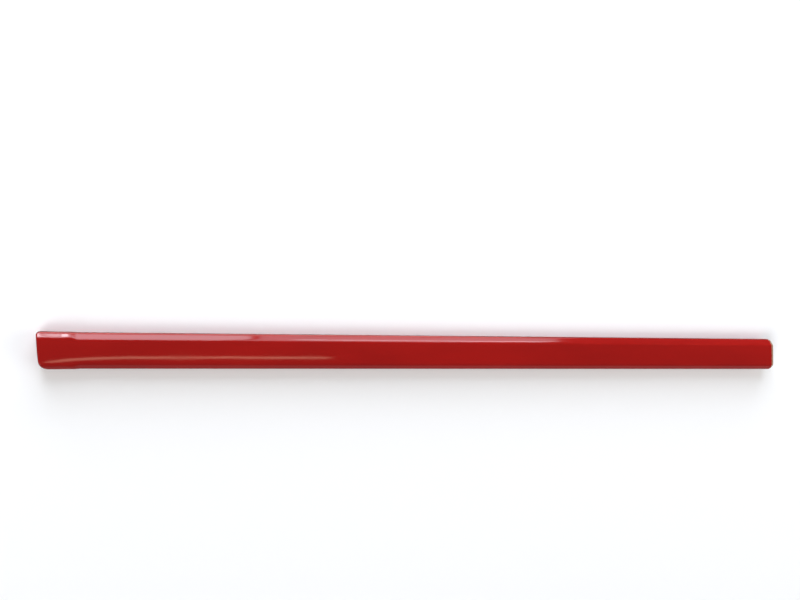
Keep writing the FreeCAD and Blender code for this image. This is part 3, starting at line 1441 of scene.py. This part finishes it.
def inside(outline, y, z):
    """Whether a point lies within a closed outline."""
    within = False
    for (y1, z1), (y2, z2) in zip(outline, np.roll(outline, -1, axis=0)):
        if (z1 > z) != (z2 > z) and y < (y2 - y1) * (z - z1) / (z2 - z1) + y1:
            within = not within
    return within


def end_points(outline, cell):
    """Points spread evenly within an outline, clear of its edge."""
    low = outline.min(axis=0)
    high = outline.max(axis=0)
    points = []
    for row, z in enumerate(np.arange(low[1] + cell / 2, high[1], ROW_PITCH * cell)):
        for y in np.arange(low[0] + cell * (0.5 + 0.5 * (row % 2)), high[0], cell):
            if edge_gap(outline, y, z) > EDGE_CLEARANCE * cell and inside(outline, y, z):
                points.append((y, z))
    return np.array(points)


def filled(points, count):
    """The places and triangles that fill the outline of the first count points."""
    flat = [Vector(point) for point in points]
    places, _, triangles, _, _, _ = delaunay_2d_cdt(flat, [], [list(range(count))], 1, 1e-9)
    return places, triangles


def saw_arcs(y, z, pitch):
    """The saw's arcs across a cut face, from 0 to 1."""
    return 0.5 + 0.5 * math.sin(math.tau * math.hypot(y + SAW_REACH, z) / pitch)


def wood_butt_x(y):
    """Where the wood under the dip ends at y."""
    return butt_x(y, settings().dip.end_thickness)


def sawn_bar(name, outline, cell, relief, broken_edge):
    """A closed bar of this outline from the butt to the raw end, whose sawn face has relief."""
    count = len(outline)
    centre = outline.mean(axis=0)
    edge_share = EDGE_PULL * broken_edge / np.abs(outline - centre).max()
    setback = EDGE_SETBACK * broken_edge

    def pulled(y, z, share):
        """A point moved a little towards the outline's middle."""
        return y + (centre[0] - y) * share, z + (centre[1] - z) * share

    places, triangles = filled(np.vstack((outline, end_points(outline, cell))), count)
    vertices = []
    for place in places:
        y, z = pulled(place[0], place[1], edge_share)
        near_edge = max(0.0, 1.0 - edge_gap(outline, place[0], place[1]) / cell)
        x = RAW_X - SKEW * y - relief(y, z) - setback * near_edge
        vertices.append((x, y, z + AXIS_HEIGHT))
    faces = [tuple(face) for face in triangles]

    face_ring = []
    for y, z in outline:
        y, z = pulled(y, z, edge_share)
        x = RAW_X - SKEW * y - relief(y, z) - setback
        face_ring.append((x, y, z + AXIS_HEIGHT))
    rings = [face_ring]
    for back in EDGE_RINGS:
        ring = []
        for y, z in outline:
            wear = EDGE_WEAR * ripple(back * MM, y, z, WEAR_LENGTH, 2) / back
            worn_y, worn_z = pulled(y, z, abs(wear) / WEAR_SOFTNESS)
            ring.append((RAW_X - SKEW * y - broken_edge * back, worn_y, worn_z + AXIS_HEIGHT))
        rings.append(ring)
    rings.append([(wood_butt_x(y), y, z + AXIS_HEIGHT) for y, z in outline])
    base = len(vertices)
    vertices.extend(vertex for ring in rings for vertex in ring)
    faces.extend(tuple(base + index for index in face) for face in ring_faces(count, len(rings)))

    butt_places, butt_triangles = filled(outline, count)
    base = len(vertices)
    for place in butt_places:
        vertices.append((wood_butt_x(place[0]), place[0], place[1] + AXIS_HEIGHT))
    faces.extend(tuple(base + index for index in face) for face in butt_triangles)
    return plain_mesh(name, vertices, faces)


# Middle of each slat's growth rings, as (y, z) about the pencil's axis, outside the wood.
RING_CENTRES = {"upper_slat": (4.0 * MM, -21.0 * MM), "lower_slat": (-11.0 * MM, 17.0 * MM)}


class PENCIL_OT_cedar_slats(bpy.types.Operator):
    """Makes the two slats of the wooden casing, with their sawn end grain"""

    bl_idname = "pencil.cedar_slats"
    bl_label = "Cedar slats"

    def execute(self, context):
        casing = settings().casing
        upper = slat_outline(casing.grain_size)
        lower = upper[::-1] * (1.0, -1.0)
        for node, outline in (("upper_slat", upper), ("lower_slat", lower)):
            centre_y, centre_z = RING_CENTRES[node]

            def relief(y, z):
                """Depth of the sawn face: soft earlywood torn out, and the saw's arcs."""
                turns = math.hypot(y - centre_y, z - centre_z) / casing.ring_spacing
                phase = turns + 0.5 * ripple(0.0, y, z, 6.0 * MM, 3)
                soft = 1.0 - (phase % 1.0) ** 2
                arcs = saw_arcs(y, z, 0.9 * MM)
                torn = 0.5 + 0.5 * ripple(0.0, y, z, 0.45 * MM, 4)
                return (0.028 * soft + 0.016 * arcs + 0.035 * torn) * MM

            mesh = sawn_bar(node + "_wood", outline, casing.grain_size, relief, casing.broken_edge)
            centre = (0.0, centre_y, AXIS_HEIGHT + centre_z)
            material = cedar_material(node + "_cedar", centre)
            place_piece(node + "_wood", mesh, [node], material)
        return {"FINISHED"}


class PENCIL_OT_graphite_lead(bpy.types.Operator):
    """Makes the lead, snapped and rubbed by the saw"""

    bl_idname = "pencil.graphite_lead"
    bl_label = "Graphite lead"

    def execute(self, context):
        casing = settings().casing
        cell = 0.8 * casing.grain_size
        half_width = CORE_HIGH.y - LEAD_CLEARANCE
        half_height = CORE_HIGH.z - AXIS_HEIGHT - LEAD_CLEARANCE
        outline = stepped(rounded_rectangle(half_width, half_height, LEAD_CORNER), cell)

        def relief(y, z):
            """Depth of the sawn lead: fine arcs with crumbled pits."""
            pits = max(0.0, ripple(0.0, y, z, 0.5 * MM, 6))
            return (0.012 * saw_arcs(y, z, 0.6 * MM) + 0.05 * pits) * MM

        mesh = sawn_bar("graphite_lead", outline, cell, relief, 0.6 * casing.broken_edge)
        place_piece("graphite_lead", mesh, ["graphite_core"], graphite_material())
        return {"FINISHED"}


class PENCIL_OT_glue_lines(bpy.types.Operator):
    """Finishes the glue round the lead and along the seam"""

    bl_idname = "pencil.glue_lines"
    bl_label = "Glue lines"

    def execute(self, context):
        material = glue_material()
        for node in ("core_glue", "seam_glue_front", "seam_glue_back"):
            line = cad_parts[node]
            for slot in line.material_slots:
                slot.material = material
        return {"FINISHED"}


# The fibres' roots lie this deep in the wood, and this much further back than they are long.
FIBRE_DEPTH = 0.03 * MM
FIBRE_SETBACK = 0.06 * MM
FIBRE_THICKNESS = 0.028 * MM
FIBRE_SCATTER = 0.5 * MM
FIBRE_STEP = 0.3 * MM
# Middle of the growth rings that the fibres were torn from.
FIBRE_RINGS = (0.0, 4.0 * MM, -18.0 * MM)


class PENCIL_OT_burr_fibres(bpy.types.Operator):
    """Makes the fibres that the saw left standing round the raw end"""

    bl_idname = "pencil.burr_fibres"
    bl_label = "Burr fibres"

    def execute(self, context):
        casing = settings().casing
        depth = LACQUER_FILM + PRIMER_FILM + FIBRE_DEPTH
        outline = stepped(body_section(depth), FIBRE_STEP)
        setback = casing.fibre_length + FIBRE_SETBACK
        points = [(RAW_X - setback - SKEW * y, y, z + AXIS_HEIGHT) for y, z in outline]
        values = {
            "Count": casing.fibre_count,
            "Axis height": AXIS_HEIGHT,
            "Length": casing.fibre_length,
            "Thickness": FIBRE_THICKNESS,
            "Scatter": FIBRE_SCATTER,
            "Seed": 11,
            "Material": cedar_material("burr_cedar", FIBRE_RINGS),
        }
        tree = shared("Burr fibres along an edge", build_fibre_tree)
        mesh = grown(tree, loop_mesh("burr_edge", points), "burr_fibres", values)
        place_piece("burr_fibres", mesh)
        return {"FINISHED"}


# ---------------------------------------------------------------------------------------------
# Stage


WATTS_PER_RADIANCE = math.pi
SENSOR_WIDTH = 36.0
# Where the broad light stands, as seen from the pencil.
SKY_WAY = (-0.52, -0.56, 0.65)
COOL = (0.87, 0.91, 1.0)
WARM = (1.0, 0.60, 0.42)
TO_FRONT = (0, -1, 0)
TO_BACK = (0, 1, 0)
DOWN = (0, 0, -1)
TO_LEFT = (-1, 0, 0)
WINDOW_Y = 0.9
GLARE_Y = WINDOW_Y - 0.01

# Each softbox's name, its low and high corners, the way it faces, its radiance and its colour.
SOFTBOXES = (
    # Two tall windows behind the pencil.
    ("left_window", (-0.60, WINDOW_Y, 0.0), (0.040, WINDOW_Y, 1.1), TO_FRONT, 5.4, COOL),
    ("right_window", (0.050, WINDOW_Y, 0.0), (0.460, WINDOW_Y, 1.1), TO_FRONT, 2.8, COOL),
    # Brighter patches in the windows, for the back arris and for the glint on the dip's bead.
    ("glare", (0.10, GLARE_Y, 0.12), (0.46, GLARE_Y, 0.38), TO_FRONT, 6.2, COOL),
    ("glare_core", (0.29, GLARE_Y, 0.13), (0.46, GLARE_Y, 0.36), TO_FRONT, 2.8, COOL),
    ("low_sun", (-0.31, GLARE_Y, 0.0), (-0.226, GLARE_Y, 0.5), TO_FRONT, 12.0, COOL),
    ("sun_halo", (-0.206, GLARE_Y, 0.0), (-0.184, GLARE_Y, 0.5), TO_FRONT, 4.2, COOL),
    # Below the floor, where only the lacquer sees them, two dim panels stand for the table.
    ("far_table", (-0.60, 0.5, -0.9), (0.30, 0.5, -0.03), TO_FRONT, 1.6, WHITE),
    ("near_table", (-0.60, -0.5, -0.3), (0.60, -0.5, -0.01), TO_BACK, 0.2, WHITE),
    # A warm strip overhead, for the long line on the upper face, and a soft fill at each end.
    ("warm_strip", (-0.219, -0.234, 1.2), (0.207, -0.210, 1.2), DOWN, 3.9, WARM),
    ("left_fill", (-1.6, -0.5, 1.0), (-0.55, 0.7, 1.0), DOWN, 0.6, WHITE),
    ("right_fill", (1.3, -0.7, 0.35), (1.3, 0.5, 1.35), TO_LEFT, 3.0, WHITE),
)


def hang_softbox(name, low, high, facing, radiance, colour):
    """A flat area light that fills the box from low to high, which has no depth along one axis."""
    low = Vector(low)
    high = Vector(high)
    back = -Vector(facing)
    side = Vector((0.0, 1.0, 0.0)) if back.x else Vector((1.0, 0.0, 0.0))
    up = back.cross(side)
    span = high - low
    light = bpy.data.lights.new(name, "AREA")
    light.shape = "RECTANGLE"
    light.size = abs(span.dot(side))
    light.size_y = abs(span.dot(up))
    light.energy = radiance * light.size * light.size_y * WATTS_PER_RADIANCE
    light.color = colour
    turn = Matrix((side, up, back)).transposed().to_quaternion()
    new_object(name, light).matrix_world = Matrix.LocRotScale((low + high) / 2, turn, None)


class PENCIL_OT_stage(bpy.types.Operator):
    """Lays the floor, hangs the soft lights and sets the camera"""

    bl_idname = "pencil.stage"
    bl_label = "Stage"

    def lay_floor(self, stage):
        """A pale floor under the pencil."""
        half = stage.floor_size / 2
        corners = [(-half, -half, 0.0), (half, -half, 0.0), (half, half, 0.0), (-half, half, 0.0)]
        mesh = bpy.data.meshes.new("floor")
        mesh.from_pydata(corners, [], [(0, 1, 2, 3)])
        mesh.materials.append(floor_material())
        floor = new_object("floor", mesh)
        # The lacquer mirrors the two panels below the floor, and not the floor itself.
        floor.visible_glossy = False

    def hang_lights(self, stage):
        """The softboxes, and a broad light from the left."""
        for softbox in SOFTBOXES:
            hang_softbox(*softbox)
        sky = bpy.data.lights.new("sky", "SUN")
        sky.energy = stage.sky
        sky.angle = stage.sky_width
        turn = Vector(SKY_WAY).to_track_quat("Z", "Y")
        new_object("sky", sky).rotation_euler = turn.to_euler()

    def light_room(self, stage):
        """An even dim light from all round, in front of a pale backdrop."""
        world = bpy.data.worlds.new("room")
        world.use_nodes = True
        tree = world.node_tree
        seen = tree.nodes.new("ShaderNodeLightPath").outputs["Is Camera Ray"]
        strength = calc(tree, "MULTIPLY_ADD", seen, stage.backdrop - stage.ambient, stage.ambient)
        background = tree.nodes["Background"].inputs
        feed(tree, background["Color"], tone(WHITE))
        feed(tree, background["Strength"], strength)
        bpy.context.scene.world = world
        bpy.context.scene.view_settings.view_transform = "Standard"

    def set_camera(self, stage):
        """The camera, aimed at the floor beside the pencil's middle and rolled a little."""
        place = Vector(stage.camera_place)
        forward = (Vector(stage.camera_aim) - place).normalized()
        right = forward.cross(Vector((0.0, 1.0, 0.0))).normalized()
        up = right.cross(forward)
        upright = Matrix((right, up, -forward)).transposed()
        rolled = upright @ Matrix.Rotation(stage.camera_roll, 3, "Z")
        lens = bpy.data.cameras.new("camera")
        lens.lens = stage.camera_lens
        lens.sensor_width = SENSOR_WIDTH
        lens.sensor_fit = "HORIZONTAL"
        lens.clip_start = 0.01
        camera = new_object("camera", lens)
        camera.matrix_world = Matrix.Translation(place) @ rolled.to_4x4()
        bpy.context.scene.camera = camera

    def execute(self, context):
        stage = settings().stage
        self.lay_floor(stage)
        self.hang_lights(stage)
        self.light_room(stage)
        self.set_camera(stage)
        return {"FINISHED"}


# ---------------------------------------------------------------------------------------------
# Panel and registration


OPERATORS = (
    PENCIL_OT_lacquer_coat,
    PENCIL_OT_primer_sleeve,
    PENCIL_OT_butt_dip,
    PENCIL_OT_cedar_slats,
    PENCIL_OT_graphite_lead,
    PENCIL_OT_glue_lines,
    PENCIL_OT_burr_fibres,
    PENCIL_OT_stage,
)


class PENCIL_PT_build(bpy.types.Panel):
    """Builds the pencil piece by piece"""

    bl_idname = "PENCIL_PT_build"
    bl_label = "Carpenter's Pencil"
    bl_space_type = "VIEW_3D"
    bl_region_type = "UI"
    bl_category = "Pencil"

    def draw(self, context):
        layout = self.layout
        for operator in OPERATORS:
            layout.operator(operator.bl_idname)
        for group in (settings().body, settings().dip, settings().casing, settings().stage):
            box = layout.box()
            for name in group.__annotations__:
                box.prop(group, name)


CLASSES = (
    BodySettings,
    DipSettings,
    CasingSettings,
    StageSettings,
    PencilSettings,
    *OPERATORS,
    PENCIL_PT_build,
)


def register():
    """Registers the settings, the operators and the panel."""
    for item in CLASSES:
        bpy.utils.register_class(item)
    bpy.types.Scene.carpenter_pencil = PointerProperty(type=PencilSettings)


def unregister():
    """Takes everything back out."""
    del bpy.types.Scene.carpenter_pencil
    for item in reversed(CLASSES):
        bpy.utils.unregister_class(item)


def main():
    """Builds the pencil and its stage."""
    register()
    for operator in OPERATORS:
        category, name = operator.bl_idname.split(".")
        getattr(getattr(bpy.ops, category), name)()


if __name__ == "__main__":
    main()
